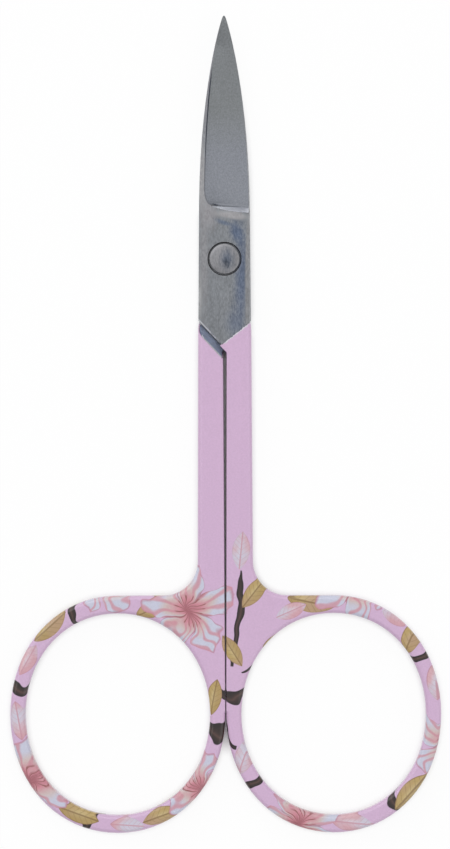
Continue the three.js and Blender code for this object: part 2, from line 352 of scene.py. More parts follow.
@dataclass(frozen=True)
class GroundSteel:
    """Stainless steel, ground on a belt: a soft gloss, fine scratches one way and patches of painted
    reflection, highlight and shade.
    """

    name: str
    joint_colour: str = "#8d9094"
    point_colour: str = "#8d9094"
    fade_from: float = 12.0  # pivot axis to where the colour at the joint begins to change
    fade_to: float = 17.0  # pivot axis to where the colour at the point is reached
    roughness: float = 0.36
    gloss_spread: tuple[float, float] = (-0.05, 0.06)  # how the scratches change the roughness
    scratch_width: float = 0.15  # real ones are finer than a pixel, so they are drawn at this width
    scratch_length: float = 0.4
    scratch_depth: float = 0.002
    scratch_contrast: float = 0.17
    streak_width: float = 0.7
    streak_length: float = 6.0
    streak_contrast: float = 0.05
    streak_share: float = 0.5  # how much the streaks fray a patch, where the scratches count 1
    grain: tuple[float, float] = (0.3, 0.7)  # noise of the darkest and the lightest grains
    patches: tuple[Patch, ...] = ()

    def material(self) -> Material:
        """Makes the material.

        Returns:
            The new material.
        """
        material, node = new_material(self.name)
        spot = node("TexCoord")["Object"]
        place = node("VectorMath.SCALE", {0: spot, "Scale": 1 / MM})[0]
        height = node("SeparateXYZ", place)["Y"]
        grains = []
        fine = (self.scratch_width, self.scratch_length)
        for width, length in (fine, (self.streak_width, self.streak_length)):
            drawn_out = node("Mapping", {"Vector": place, "Scale": (1 / width, 1 / length, 1 / width)})[0]
            noise = {"Vector": drawn_out, "Scale": 1, "Detail": 3, "Roughness": 0.6}
            grains.append(node("TexNoise", noise)["Fac"])
        scratches, streaks = grains
        to_point = node("MapRange", height, self.fade_from, self.fade_to)[0]
        colour = node("Mix", {0: to_point, 6: self.joint_colour, 7: self.point_colour}, **COLOUR)[2]
        mottling = node("Math.MULTIPLY_ADD", streaks, self.streak_share, scratches)[0]
        # each patch paints its tint in, mostly painted reflections, highlights and shade
        for patch in self.patches:
            local = node("Mapping", patch.oval(place), vector_type="TEXTURE")[0]
            out = node("VectorMath.LENGTH", local)["Value"]
            frayed = node("Math.ADD", mottling, out)[0]
            fade = (patch.rim, patch.rim - patch.soft, 0.0, patch.strength)
            share = node("MapRange", frayed, *fade, interpolation_type="SMOOTHSTEP")[0]
            colour = node("Mix", {0: share, 6: colour, 7: patch.colour}, **COLOUR)[2]
        for grain, contrast in ((scratches, self.scratch_contrast), (streaks, self.streak_contrast)):
            glint = node("MapRange", grain, *self.grain, 1 - contrast, 1 + contrast)[0]
            colour = node("Mix", {0: 1.0, 6: colour, 7: glint}, blend_type="MULTIPLY", **COLOUR)[2]
        smooth, rough = (self.roughness + change for change in self.gloss_spread)
        gloss = node("MapRange", scratches, *self.grain, smooth, rough)[0]
        relief = node("Bump", {"Height": scratches, "Strength": 0.5, "Distance": self.scratch_depth * MM})[0]
        looks = {"Base Color": colour, "Metallic": 1.0, "Roughness": gloss, "Normal": relief}
        node("OutputMaterial", node("BsdfPrincipled", looks)[0])
        return material


# Painted reflections on the plate and land: lighter bands on the left, darker blue-grey bands on the right, a
# light strip along each side edge and a lighter band under the step.
PLATE_PAINTED_REFLECTIONS = (
    Patch(-2.4, 0.0, 0, 0.9, 9.5, "#9c9b9e", 0.8, 0.9),
    Patch(-1.9, 5.0, 0, 1.5, 2.6, "#9f9da0", 0.9, 0.9),
    Patch(-2.7, 9.5, 0, 1.0, 5.0, "#a5a4a6", 0.9, 0.6),
    Patch(-2.95, -4.2, 0, 0.5, 4.2, "#b0b0b1", 0.8, 0.8),
    Patch(1.9, -2.6, -2, 1.2, 8.8, "#68748b", 0.85, 1.0),
    Patch(1.1, -7.4, 0, 1.5, 2.6, "#757e90", 0.7, 1.0),
    Patch(1.4, 3.0, 18, 1.1, 2.1, "#69758b", 0.95, 0.9),
    Patch(-0.1, 4.15, -20, 1.4, 0.4, "#737e90", 0.9, 0.9),
    Patch(2.66, -1.0, -1, 0.34, 9.0, "#99999b", 0.9, 0.5),
    Patch(0.9, 5.0, -7, 2.6, 0.55, "#adabad", 0.9, 0.6),
)

# Darker blue-grey spots on the rivet's head, darkest a little below its middle.
RIVET_PATCHES = (
    Patch(0.25, -0.1, 0, 1.15, 1.7, "#676f7d", 0.95, 1.0),
    Patch(0.15, -0.5, 0, 0.55, 0.8, "#3e434c", 0.85, 1.0),
)

# A painted shadow line in the corner at the top of the step.
STEP_CORNER_PAINTED_SHADOW = (Patch(-1.15, 6.22, -6, 0.7, 0.16, "#444850", 0.9),)

# Fades the grind line's painted shadow out towards the point.
LINE_PATCHES = (Patch(-1.4, 22.8, 0, 1.2, 2.6, "#85878a", 1.0, 0.9),)

# Painted shade over the lower part of the bright chamfer at the plate's end.
CHAMFER_PAINTED_SHADE = (Patch(0.3, -10.2, 0, 2.6, 2.6, "#8f9298", 1.0, 0.9),)

# Painted light on the shoulder along the other half's plate, where it lies in that plate's shade.
SHOULDER_PAINTED_LIGHT = (Patch(-1.3, -9.1, -47, 3.6, 0.75, "#ccd4e6", 0.9, 0.9),)

RIVET_STEEL = GroundSteel("faced_stainless_rivet", "#8e8e91", roughness=0.45, patches=RIVET_PATCHES)


class SteelFinish(Enum):
    """The finishes of a steel half, in the order of its material slots."""

    PLATE = GroundSteel("belt_ground_stainless_plate", patches=PLATE_PAINTED_REFLECTIONS)
    # the grind's colour darkens towards the point, a painted change of reflection
    GRIND = GroundSteel(
        "fine_ground_stainless_grind",
        "#8e9198",
        "#86898b",
        patches=STEP_CORNER_PAINTED_SHADOW,
        scratch_length=0.2,
        streak_width=1.6,
        streak_length=4.0,
        streak_contrast=0.03,
    )
    # painted highlight: the step is coloured near white so that it shines
    STEP = GroundSteel(
        "stainless_step_painted_highlight", "#f2f4fb", roughness=0.5, scratch_contrast=0.02, streak_contrast=0.02
    )
    LAND = GroundSteel("ground_stainless_back_land", point_colour="#8c8c91", patches=PLATE_PAINTED_REFLECTIONS)
    # painted shadow of the groove along the grind line, darker towards the point
    GRIND_LINE = GroundSteel("grind_line_painted_shadow", "#7e8086", "#464951", 9.0, 15.0, patches=LINE_PATCHES)
    # painted lighter and bluer than the plate, against the shade it lies in beside the other half's plate
    SHOULDER = GroundSteel(
        "stainless_shoulder_painted_light",
        "#a3adc3",
        roughness=0.6,
        scratch_width=0.5,
        scratch_length=0.3,
        patches=SHOULDER_PAINTED_LIGHT,
    )
    # painted highlight on the plate's end and on the bore's rim
    CHAMFER = GroundSteel("stainless_chamfer_painted_highlight", "#e4e6ea", roughness=0.5, patches=CHAMFER_PAINTED_SHADE)
    # painted lighter than the plate, so that the rear half's inner face reads light beside the front plate
    # where it lies in shade; darker towards the point
    INNER = GroundSteel("flat_ground_inner_face_painted_light", "#bcbdc0", "#a3a5a8")
    # near black: oil and painted shade in the counterbore round the rivet's head
    BORE = GroundSteel("bore_oil_and_painted_shade", "#2e2627", roughness=0.5)


@dataclass(frozen=True)
class Blossom:
    """A blossom drawn in washes: rose throat, peach petals, pale lilac tips and a rose outline."""

    petals: int = 5
    rays: int = 17  # streaks of colour round the blossom
    threads: int = 17  # stamens round its throat
    drift: float = 9.0  # how far the wash pushes the streaks, in radians
    sway: float = 0.25  # how far the wash pushes the petals
    rim: tuple = ((0.0, 0.42), (1.0, 0.93), (0.3, 0.8), (0.65, 0.97))  # a petal's reach, seam to middle
    outline: str = "#b5748a"
    tip: str = "#c6c7d8"
    wash: str = "#ccbab8"
    blush: str = "#cc8894"
    throat: str = "#a5616c"
    vein: str = "#c98a97"
    stamen: str = "#97605f"

    def washes(self) -> tuple[tuple[float, str], ...]:
        """Lists the colours from the throat to the rim.

        Returns:
            Places and colours: both ends first, then what lies between them.
        """
        ends = ((0.0, self.throat), (1.0, self.outline))
        petal = ((0.27, self.blush), (0.5, self.wash), (0.72, self.tip), (0.94, self.tip))
        return *ends, (0.1, self.throat), *petal

    def group(self) -> NodeTree:
        """Makes the node group, for a blossom of radius 1 round the origin.

        Returns:
            The node group.
        """
        tree, node, given = new_group(Motif.BLOSSOM)
        swing = node("MapRange", given["Wash"], 0.0, 1.0, -self.sway, self.sway, **SOFT)[0]
        x = node("Math.ADD", given["Along"], swing)[0]
        y = node("Math.MULTIPLY_ADD", swing, -0.6, given["Beside"])[0]
        angle = node("Math.ARCTAN2", y, x)[0]
        turn = node("Math.MULTIPLY_ADD", angle, 0.5 / math.pi, 0.5)[0]
        fold = node("Math.PINGPONG", turn, 0.5 / self.petals)[0]
        share = node("Math.MULTIPLY", fold, 2.0 * self.petals)[0]
        rim = node("ValToRGB", share, stops=[(at, (1, 1, 1, reach)) for at, reach in self.rim])["Alpha"]
        square = node("Math.MULTIPLY", x, x)[0]
        squares = node("Math.MULTIPLY_ADD", y, y, square)[0]
        out = node("Math.SQRT", squares)[0]
        reach = node("Math.DIVIDE", out, rim)[0]
        wash = node("ValToRGB", reach, stops=self.washes())["Color"]
        drift = node("Math.MULTIPLY", given["Wash"], self.drift)[0]
        ray = node("Math.MULTIPLY_ADD", angle, self.rays, drift)[0]
        streaks = node("Math.SINE", ray)[0]
        veins = node("MapRange", streaks, -0.1, 1.0, 0.0, 0.8, **SOFT)[0]
        veined = node("Mix", {0: veins, 6: wash, 7: self.vein}, **COLOUR)[2]
        seam = node("MapRange", share, 0.16, 0.04, 0.0, 0.7, **SOFT)[0]
        folded = node("Mix", {0: seam, 6: veined, 7: self.throat}, **COLOUR)[2]
        spoke = node("Math.PINGPONG", turn, 0.5 / self.threads)[0]
        thin = node("MapRange", spoke, 0.009, 0.004, **SOFT)[0]
        short = node("MapRange", out, 0.36, 0.3, **SOFT)[0]
        threads = node("Math.MULTIPLY", thin, short)[0]
        colour = node("Mix", {0: threads, 6: folded, 7: self.stamen}, **COLOUR)[2]
        close_group(node, colour, node("MapRange", reach, 1.03, 0.98, **SOFT)[0])
        return tree


@dataclass(frozen=True)
class PointedOval:
    """A leaf or a closed bud: a pointed oval with a midrib, side veins and a darker edge."""

    motif: Motif
    width: float
    inside: str
    body: str
    edge: str
    rib: str
    shade: str
    blot: str
    vein_lean: float = 0.9  # how far the side veins run back along the oval, per distance from the midrib
    vein_gap: float = 0.14  # half the distance from one side vein to the next

    def group(self) -> NodeTree:
        """Makes the node group, for an oval from -1 to 1 along X.

        Returns:
            The node group.
        """
        tree, node, given = new_group(self.motif)
        radius = (1 + self.width**2) / (2 * self.width)
        offset = radius - self.width
        along = given["Along"]
        height = node("Math.ABSOLUTE", given["Beside"])[0]
        lifted = node("Math.ADD", height, offset)[0]
        square = node("Math.MULTIPLY", along, along)[0]
        squares = node("Math.MULTIPLY_ADD", lifted, lifted, square)[0]
        far = node("Math.SQRT", squares)[0]
        reach = node("MapRange", far, offset, radius, clamp=False)[0]
        washes = ((0.0, self.inside), (1.0, self.edge), (0.55, self.body), (0.86, self.body))
        wash = node("ValToRGB", reach, stops=washes)["Color"]
        lower = node("MapRange", given["Beside"], 0.02, -0.02, 0.0, 0.45, **SOFT)[0]
        shaded = node("Mix", {0: lower, 6: wash, 7: self.shade}, **COLOUR)[2]
        blots = node("MapRange", given["Wash"], 0.42, 0.68, 0.0, 0.8, **SOFT)[0]
        blotted = node("Mix", {0: blots, 6: shaded, 7: self.blot}, **COLOUR)[2]
        slant = node("Math.MULTIPLY_ADD", height, -self.vein_lean, along)[0]
        beat = node("Math.PINGPONG", slant, self.vein_gap)[0]
        side_veins = node("MapRange", beat, 0.03, 0.01, 0.0, 0.4, **SOFT)[0]
        midrib = node("MapRange", height, 0.05, 0.02, 0.0, 0.8, **SOFT)[0]
        lines = node("Math.MAXIMUM", side_veins, midrib)[0]
        colour = node("Mix", {0: lines, 6: blotted, 7: self.rib}, **COLOUR)[2]
        close_group(node, colour, node("MapRange", reach, 1.03, 0.97, **SOFT)[0])
        return tree


@dataclass(frozen=True)
class Twig:
    """A thin bent twig with rough bark, light along its middle and almost black at its sides."""

    lit: str = "#523a35"
    bark: str = "#382824"
    dark: str = "#221918"
    bend: float = 1.6
    rough: float = 1.6  # how far the wash pushes its sides
    taper: float = 0.75  # how much thinner it is at its ends

    def group(self) -> NodeTree:
        """Makes the node group, for a twig from -1 to 1 along X, of half width 1.

        Returns:
            The node group.
        """
        tree, node, given = new_group(Motif.TWIG)
        square = node("Math.MULTIPLY", given["Along"], given["Along"])[0]
        bowed = node("Math.MULTIPLY_ADD", square, -self.bend, given["Beside"])[0]
        rough = node("MapRange", given["Wash"], 0.0, 1.0, -self.rough, self.rough, **SOFT)[0]
        uneven = node("Math.ADD", bowed, rough)[0]
        beside = node("Math.ABSOLUTE", uneven)[0]
        taper = node("Math.MULTIPLY_ADD", square, self.taper, beside)[0]
        barks = ((0.0, self.lit), (0.8, self.dark), (0.35, self.bark))
        colour = node("ValToRGB", taper, stops=barks)["Color"]
        inside = node("MapRange", taper, 1.08, 0.92, **SOFT)[0]
        ends = node("MapRange", square, 1.02, 0.96, **SOFT)[0]
        close_group(node, colour, node("Math.MULTIPLY", inside, ends)[0])
        return tree


@dataclass(frozen=True)
class Placed:
    """One motif of the print: its place in mm, its turn in degrees and its half sizes in mm."""

    motif: Motif
    x: float
    y: float
    turn: float
    length: float
    width: float | None = None  # the same as its length if none is given

    def ways(self) -> tuple[tuple[str, Vector], ...]:
        """Works out the ways along and beside the motif.

        Returns:
            Each way with its name, as long as one over the motif's half size.
        """
        turn = math.radians(self.turn)
        along = flat(math.cos(turn), math.sin(turn)) / self.length
        beside = flat(-math.sin(turn), math.cos(turn)) / (self.width or self.length)
        return ("Along", along), ("Beside", beside)


PRINT = (
    Placed(Motif.TWIG, 1.5, -41.5, 84, 5.6, 0.42),
    Placed(Motif.TWIG, 1.1, -50.4, 8, 2.6, 0.7),
    Placed(Motif.TWIG, 4.0, -46.2, 40, 2.8, 0.4),
    Placed(Motif.TWIG, 22.4, -46.2, 28, 2.6, 0.6),
    Placed(Motif.TWIG, 18.6, -62.6, -60, 2.6, 0.6),
    Placed(Motif.TWIG, 3.4, -60.2, 40, 2.8, 0.5),
    Placed(Motif.TWIG, -23.8, -49.4, 172, 2.4, 0.65),
    Placed(Motif.TWIG, -15.6, -64.5, 76, 2.4, 0.6),
    Placed(Motif.TWIG, -1.2, -54.6, 165, 2.6, 0.75),
    Placed(Motif.TWIG, -17.8, -40.2, 120, 2.4, 0.5),
    Placed(Motif.LEAF, 3.2, -38.4, 52, 2.3),
    Placed(Motif.LEAF, 0.6, -45.2, 122, 2.1),
    Placed(Motif.LEAF, 5.6, -44.4, 30, 2.2),
    Placed(Motif.LEAF, 9.6, -39.6, -12, 2.8),
    Placed(Motif.LEAF, 21.2, -43.6, 65, 2.6),
    Placed(Motif.BUD, 23.9, -48.8, 96, 2.2),
    Placed(Motif.LEAF, 21.0, -61.6, 48, 2.8),
    Placed(Motif.BUD, 14.2, -65.1, -6, 2.4),
    Placed(Motif.BUD, 1.9, -57.4, 70, 2.4),
    Placed(Motif.LEAF, -1.6, -50.6, 78, 2.2),
    Placed(Motif.LEAF, -8.4, -40.2, 28, 2.5),
    Placed(Motif.LEAF, -20.4, -42.4, 42, 2.5),
    Placed(Motif.BUD, -24.0, -53.2, 100, 2.3),
    Placed(Motif.LEAF, -17.2, -64.0, -20, 2.5),
    Placed(Motif.LEAF, -7.6, -64.2, 20, 2.4),
    Placed(Motif.BUD, 1.7, -33.6, 84, 2.2),
    Placed(Motif.BUD, 7.4, -40.6, 24, 1.9),
    Placed(Motif.BUD, 19.2, -41.2, -40, 1.9),
    Placed(Motif.BUD, -22.9, -46.2, 60, 2.0),
    Placed(Motif.BUD, -11.6, -65.3, -4, 2.0),
    Placed(Motif.BLOSSOM, -4.2, -40.6, 20, 5.4),
    Placed(Motif.BLOSSOM, 15.0, -37.8, 55, 4.6),
    Placed(Motif.BLOSSOM, 25.2, -56.0, 5, 4.6),
    Placed(Motif.BLOSSOM, 8.0, -65.2, 30, 5.2),
    Placed(Motif.BLOSSOM, -13.8, -37.4, 10, 3.9),
    Placed(Motif.BLOSSOM, -22.4, -60.0, 42, 5.0),
    Placed(Motif.BLOSSOM, -3.2, -61.2, 12, 4.6),
)


@dataclass(frozen=True)
class PrintedLacquer:
    """Lilac lacquer, a watercolour print on film and a clear coat: soft gloss and faint orange peel."""

    name: str = "printed_lilac_lacquer"
    ground: str = "#cfafcd"
    # the pale edge where the print stops: bare film, painted pale also as the highlight along the lacquer's
    # edge
    film: str = "#d0cbd4"
    roughness: float = 0.36
    peel_width: float = 0.7
    peel_depth: float = 0.02
    grain_width: float = 0.2  # print dots, drawn coarser than real ones so that they show
    grain_contrast: float = 0.1
    wash_width: float = 3.0  # blots of the watercolour
    tears: float = 2.4  # notches per mm along the film's edge
    tear_depth: float = 0.5
    film_width: float = 0.08  # over which the print gives way to the pale edge: bare film, painted pale also as the edge's highlight
    film_lift: float = 0.04  # how far up the bare film begins
    front_height: float = 3.3
    wrap: float = 0.8  # how far the print shifts along the handle's sides, per mm of depth

    def groups(self) -> dict[Motif, NodeTree]:
        """Makes the node group of each motif.

        Returns:
            Each motif with its group.
        """
        leaf = PointedOval(Motif.LEAF, 0.42, "#c9b586", "#b79d65", "#846542", "#84683f", "#a08453", "#b5957a")
        bud = PointedOval(Motif.BUD, 0.46, "#d9d0da", "#d2a9b0", "#b87e90", "#c48e9c", "#cb95a0", "#c9cada")
        makers = {Motif.TWIG: Twig(), Motif.LEAF: leaf, Motif.BUD: bud, Motif.BLOSSOM: Blossom()}
        return {motif: maker.group() for motif, maker in makers.items()}

    def material(self, edge_drop: float, edge_turn: float, edge_reach: float) -> Material:
        """Makes the material.

        Args:
            edge_drop: pivot axis to the outer end of the lacquer's edge, in mm.
            edge_turn: angle of the lacquer's edge, in degrees.
            edge_reach: pivot axis to the shank's outer side, in mm.

        Returns:
            The new material.
        """
        groups = self.groups()
        material, node = new_material(self.name)
        spot = node("TexCoord")["Object"]
        place = node("Mapping", {"Vector": spot, "Scale": (1 / MM, 1 / MM, 1 / MM)})[0]
        wash = node("TexNoise", {"Vector": place, "Scale": 1 / self.wash_width, "Detail": 1})["Fac"]
        split = node("SeparateXYZ", place)
        depth = node("Math.SUBTRACT", split["Z"], self.front_height)[0]
        across = node("Math.MULTIPLY_ADD", depth, self.wrap, split["X"])[0]
        along = node("Math.MULTIPLY_ADD", depth, self.wrap, split["Y"])[0]
        sheet = node("CombineXYZ", across, along)[0]
        colour: object = self.ground
        for item in PRINT:
            offset = node("VectorMath.SUBTRACT", sheet, flat(item.x, item.y))[0]
            given = {"Wash": wash}
            for key, way in item.ways():
                given[key] = node("VectorMath.DOT_PRODUCT", offset, way)["Value"]
            drawn = node("Group", given, node_tree=groups[item.motif])
            for key, blend in (("Clear", "MULTIPLY"), ("Ink", "ADD")):
                colour = node("Mix", {0: 1.0, 6: colour, 7: drawn[key]}, blend_type=blend, **COLOUR)[2]
        grain = node("TexNoise", {"Vector": place, "Scale": 1 / self.grain_width, "Detail": 2})["Fac"]
        dots = node("MapRange", grain, 0.0, 1.0, 1 - self.grain_contrast, 1 + self.grain_contrast)[0]
        printed = node("Mix", {0: 1.0, 6: colour, 7: dots}, blend_type="MULTIPLY", **COLOUR)[2]
        # the pale edge: bare film, painted pale also as the highlight along the lacquer's edge
        slope = math.tan(math.radians(edge_turn))
        beside = node("Math.ABSOLUTE", split["X"])[0]
        raised = node("Math.MULTIPLY_ADD", beside, -slope, split["Y"])[0]
        torn = node("TexNoise", {"Vector": place, "Scale": self.tears, "Detail": 3})["Fac"]
        ragged = node("Math.MULTIPLY_ADD", torn, self.tear_depth, raised)[0]
        edge = -edge_drop - edge_reach * slope + self.film_lift
        bare = node("MapRange", ragged, edge, edge + self.film_width)[0]
        coloured = node("Mix", {0: bare, 6: printed, 7: self.film}, **COLOUR)[2]
        peel = node("TexNoise", {"Vector": place, "Scale": 1 / self.peel_width, "Detail": 1})["Fac"]
        relief = node("Bump", {"Height": peel, "Strength": 0.25, "Distance": self.peel_depth * MM})[0]
        looks = {"Base Color": coloured, "Roughness": self.roughness, "IOR": 1.5, "Normal": relief}
        clear_coat = {"Coat Weight": 0.35, "Coat Roughness": 0.18}
        node("OutputMaterial", node("BsdfPrincipled", looks | clear_coat)[0])
        return material


@dataclass(frozen=True)
class SteelHalf:
    """One ground half: blade with its grind, step and back land, joint plate, shoulder and bare shank."""

    side: Side
    plate_chamfer: float = 0.16
    shoulder_lead: float = 0.12  # how much closer the dressed shoulder stands to the plate's end
    end_drop: float = 7.1  # pivot axis to the plate's lower corner
    end_turn: float = 47.0  # angle of the plate's sloping end
    end_reach: float = 3.02  # pivot axis to that corner, across
    step_top: float = 6.05  # pivot axis to the upper end of the step
    step_foot: float = 5.3  # pivot axis to its lower end, at the cutting edge
    step_reach: float = 1.5  # pivot axis to its upper end, across
    step_fall: float = 0.0426  # how much its upper line falls toward the cutting edge, per mm
    corner_top: float = 6.85  # pivot axis to where the round corner above the step ends
    sweep_top: float = 8.8  # pivot axis to where the grind line begins to bend in to the step
    sweep_power: int = 4  # how much the bend tightens towards the step
    line_end: float = 22.5  # pivot axis to where the grind line fades out
    line_width: float = 0.07
    bore_radius: float = 1.87
    bore_chamfer: float = 0.08
    heel_reach: float = 2.7  # pivot axis to just inside the cutting edge, across
    step_heel: float = 0.75  # how much shorter the step is at the cutting edge than in the solid
    ease_cuts: int = 5  # cuts through each face of the step and the grind, so that they bend softly
    tip_reach: float = 27.99  # pivot axis to just short of the point
    tip_length: float = 4.0  # length over which the blade thins to its point
    tip_share: float = 0.3  # thickness left at the point

    @property
    def node(self) -> str:
        """The CAD node that the half stands for."""
        return f"{self.side.body}_half"

    def own_points(self, part: BMEdge | BMFace) -> list[Vector]:
        """The corners of an edge or a face, as the half itself sees them."""
        return [self.side.own(vert.co) for vert in part.verts]

    def on_face(self, edge: BMEdge) -> bool:
        """Whether an edge lies on the half's outer face."""
        return all(abs(point.z - MEETING_PLANE) < NEAR for point in self.own_points(edge))

    def at_plate_end(self, edge: BMEdge) -> bool:
        """Tells whether an edge is the upper one of the plate's sloping end.

        Args:
            edge: an edge of the half.

        Returns:
            True for such an edge.
        """
        points = self.own_points(edge)
        slope = math.tan(math.radians(self.end_turn))
        ends = [-self.end_drop - (point.x + self.end_reach) * slope for point in points]
        return self.on_face(edge) and all(abs(point.y - end) < 2 * NEAR for point, end in zip(points, ends))

    def to_plate(self) -> Vector:
        """The way from the shoulder to the other half's plate, square to the shoulder."""
        turn = math.radians(self.end_turn)
        return flat(-self.side.value * math.sin(turn), math.cos(turn))

    def on_shoulder_wall(self, face: BMFace) -> bool:
        """Whether a face belongs to the shoulder's upright wall, which faces the other half's plate."""
        below_plate = self.side.own(face.calc_center_median()).y < -self.end_drop
        return below_plate and face.normal.dot(self.to_plate()) > ALIKE

    def at_bore_rim(self, edge: BMEdge) -> bool:
        """Whether an edge is on the rim of the rivet head's counterbore."""
        reaches = [point.xy.length for point in self.own_points(edge)]
        return self.on_face(edge) and all(abs(reach - self.bore_radius) < 2 * NEAR for reach in reaches)

    def at_step_heel(self, vert: BMVert) -> bool:
        """Whether a point is on the step's end at the cutting edge."""
        point = self.side.own(vert.co)
        return point.x > self.heel_reach and self.step_foot < point.y < self.corner_top + NEAR

    def at_grind_line(self, edge: BMEdge) -> bool:
        """Tells whether an edge parts the grind from the land along the back.

        Args:
            edge: an edge of the half.

        Returns:
            True for such an edge.
        """
        low = self.step_top + 10 * NEAR
        beyond_step = all(low < point.y < self.line_end for point in self.own_points(edge))
        kinds = {self.finish_of(face) for face in edge.link_faces}
        return beyond_step and kinds == {SteelFinish.GRIND, SteelFinish.LAND}

    def at_corner(self, vert: BMVert) -> bool:
        """Tells whether a point is on the stretch of the grind line that bends in to the step.

        Args:
            vert: a point of the half.

        Returns:
            True for such a point.
        """
        point = self.side.own(vert.co)
        beside_step = point.x < self.line_width - self.step_reach
        near = beside_step and self.step_top - NEAR < point.y < self.sweep_top
        kinds = {self.finish_of(face) for face in vert.link_faces}
        return near and SteelFinish.GRIND in kinds and len(kinds) > 1 and point.z > MEETING_PLANE / 2

    def finish_of(self, face: BMFace) -> SteelFinish:
        """Finds the finish of a face by its place and by how far it looks up.

        Args:
            face: a face of the half.

        Returns:
            Its finish.
        """
        point = self.side.own(face.calc_center_median())
        up = self.side.value * face.normal.z
        rim = self.bore_radius + self.bore_chamfer + NEAR
        step_line = self.step_top - (point.x + self.step_reach) * self.step_fall
        below_plate = point.y < -self.end_drop
        if abs(up) < LYING and all(corner.xy.length < rim for corner in self.own_points(face)):
            return SteelFinish.BORE
        if self.step_foot < point.y < step_line and UPRIGHT < up < SLOPING:
            return SteelFinish.STEP
        if point.y > self.step_foot and GENTLE < up < LEVEL:
            return SteelFinish.GRIND
        if point.y > self.step_top and up >= LEVEL:
            return SteelFinish.LAND
        if below_plate and SLANTED < abs(up) < LYING:
            return SteelFinish.CHAMFER if up > 0 else SteelFinish.SHOULDER
        return SteelFinish.INNER if up < -LYING else SteelFinish.PLATE

    def build(self) -> Object:
        """Works the edges of a merged copy of the CAD node, because its ground faces are exact.

        Returns:
            The half's mesh object.
        """
        piece = bpy.data.objects.new(f"{self.side.body}_blade_half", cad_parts[self.node].data.copy())
        bpy.context.scene.collection.objects.link(piece)
        piece.data.materials.clear()
        make_active(piece)
        bpy.ops.mesh.customdata_custom_splitnormals_clear()
        with editing(piece, "edges"):
            bpy.ops.mesh.remove_doubles(threshold=WELD)
            bpy.ops.mesh.dissolve_limited(angle_limit=math.radians(0.1))
            chamfers = ((self.at_plate_end, self.plate_chamfer), (self.at_bore_rim, self.bore_chamfer))
            for test, width in chamfers:
                pick(piece, "edges", test)
                bpy.ops.mesh.bevel(offset=width * MM, segments=1, affect="EDGES")
        with editing(piece, "faces", self.on_shoulder_wall):
            bpy.ops.transform.translate(value=self.shoulder_lead * MM * self.to_plate())
        with editing(piece, "verts", self.at_step_heel):
            foot = flat(0, self.step_foot * MM)
            bpy.ops.transform.resize(value=(1, self.step_heel, 1), center_override=foot)
        for finish in (SteelFinish.STEP, SteelFinish.GRIND):
            self.ease(piece, finish)
        with editing(piece, "verts", lambda vert: self.side.own(vert.co).y > self.tip_reach):
            bpy.ops.transform.resize(
                value=(1, 1, self.tip_share),
                center_override=(0, 0, MEETING_PLANE * MM),
                use_proportional_edit=True,
                proportional_size=self.tip_length * MM,
            )
        return piece

    def ease(self, piece: Object, finish: SteelFinish) -> None:
        """Parts the faces of one finish into small ones and lets the points between them settle softly.

        Args:
            piece: the half's mesh object.
            finish: what the faces are ground as.
        """
        wide = math.radians(80)
        with editing(piece, "faces", lambda face: self.finish_of(face) is finish):
            bpy.ops.mesh.tris_convert_to_quads(face_threshold=wide, shape_threshold=wide)
            bpy.ops.mesh.subdivide(number_cuts=self.ease_cuts)
        if finish is SteelFinish.GRIND:
            self.sweep_corner(piece)
        within = lambda vert: all(self.finish_of(face) is finish for face in vert.link_faces)
        with editing(piece, "verts", within):
            bpy.ops.mesh.vertices_smooth(factor=0.5, repeat=80)

    def sweep_corner(self, piece: Object) -> None:
        """Draws the grind line's tight corner out into a long gentle bend.

        Args:
            piece: the half's mesh object.
        """
        radius = self.corner_top - self.step_top
        with editing(piece, "verts", self.at_corner):
            shape = bmesh.from_edit_mesh(piece.data)
            for vert in shape.verts:
                if vert.select:
                    point = self.side.own(vert.co)
                    share = (self.sweep_top - point.y) / (self.sweep_top - self.step_top)
                    bend = radius * share**self.sweep_power
                    straight = point.x if point.y > self.corner_top else -self.step_reach - radius
                    vert.co.x = self.side.value * max(point.x, straight + bend) * MM
            bmesh.update_edit_mesh(piece.data)

    def dress(self, piece: Object, finishes: dict[SteelFinish, Material]) -> None:
        """Gives each ground face its finish, paints a shadow line along the grind line and puts the half on
        its body.

        Args:
            piece: the half's mesh object.
            finishes: the material of each finish.
        """
        order = list(finishes)
        for material in finishes.values():
            piece.data.materials.append(material)
        with editing(piece, "faces"):
            for slot, finish in enumerate(order):
                pick(piece, "faces", lambda face: self.finish_of(face) is finish)
                piece.active_material_index = slot
                bpy.ops.object.material_slot_assign()
        with editing(piece, "edges", self.at_grind_line):
            line = order.index(SteelFinish.GRIND_LINE)
            bpy.ops.mesh.bevel(offset=self.line_width * MM, segments=1, affect="EDGES", material=line)
        shade(piece, 10)
        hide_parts(self.node)
        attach(piece, self.side.body)


